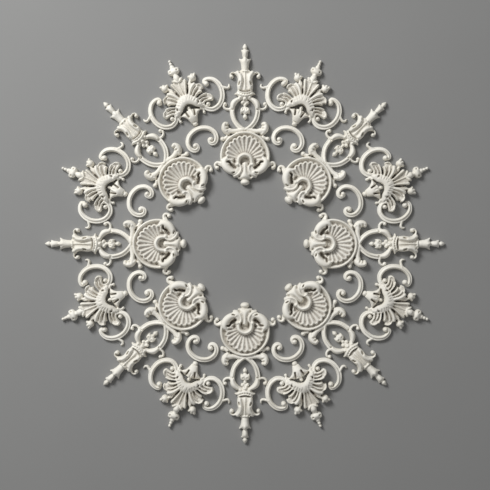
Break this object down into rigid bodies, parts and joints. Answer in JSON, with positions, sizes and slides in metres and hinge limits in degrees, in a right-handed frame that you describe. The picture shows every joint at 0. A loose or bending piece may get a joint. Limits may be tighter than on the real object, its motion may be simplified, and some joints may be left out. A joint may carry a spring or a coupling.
{
  "type": "ceiling rose",
  "caption": "Ring-shaped plaster ceiling rose: shell medallions with cup spires, palmettes and scrolls round an open centre for a hanging lamp.",
  "frame": {"origin": "centre of the rose in the plane of the castings' flat backs, which is the ceiling plane", "axes": "+Z out of the ceiling into the room, so the rose is stored face up and turned over to be fixed; +Y along the spire of shell_medallion_1"},
  "size_m": [1, 1, 0.034],
  "materials": {
    "plaster": "matt, cast gypsum plaster with an ivory distemper"
  },
  "bodies": {
    "root": {"shell_medallion_1": "plaster", "shell_medallion_2": "plaster", "shell_medallion_3": "plaster", "shell_medallion_4": "plaster", "shell_medallion_5": "plaster", "shell_medallion_6": "plaster", "shell_medallion_7": "plaster", "shell_medallion_8": "plaster", "palmette_1": "plaster", "palmette_2": "plaster", "palmette_3": "plaster", "palmette_4": "plaster", "palmette_5": "plaster", "palmette_6": "plaster", "palmette_7": "plaster", "palmette_8": "plaster", "free_scroll_1": "plaster", "free_scroll_2": "plaster", "free_scroll_3": "plaster", "free_scroll_4": "plaster", "free_scroll_5": "plaster", "free_scroll_6": "plaster", "free_scroll_7": "plaster", "free_scroll_8": "plaster"}
  },
  "joints": []
}
